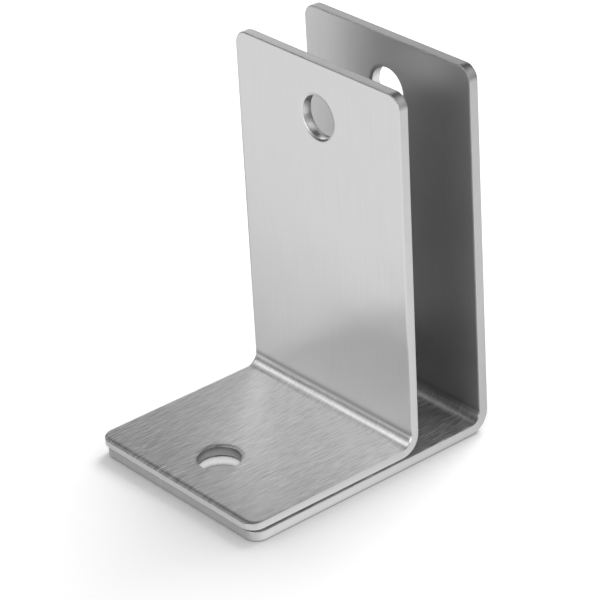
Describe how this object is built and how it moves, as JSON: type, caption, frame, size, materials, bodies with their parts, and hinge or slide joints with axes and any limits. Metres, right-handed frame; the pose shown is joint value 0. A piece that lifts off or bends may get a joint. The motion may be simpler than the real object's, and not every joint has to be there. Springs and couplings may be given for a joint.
{
  "type": "wall bracket",
  "caption": "Two nested folded steel angles that clamp a panel edge between upright ears and screw flat to a wall.",
  "frame": {"origin": "on the axis of the wall screw hole, in the face that touches the wall", "axes": "+Z away from the wall along the ears, +X from the flanges' free end to the ears, +Y across the strips"},
  "size_m": [0.0489, 0.0382, 0.0632],
  "materials": {
    "brushed_stainless": "satin, brushed along the strip"
  },
  "bodies": {
    "root": {"short_angle": "brushed_stainless", "long_angle": "brushed_stainless"}
  },
  "joints": []
}
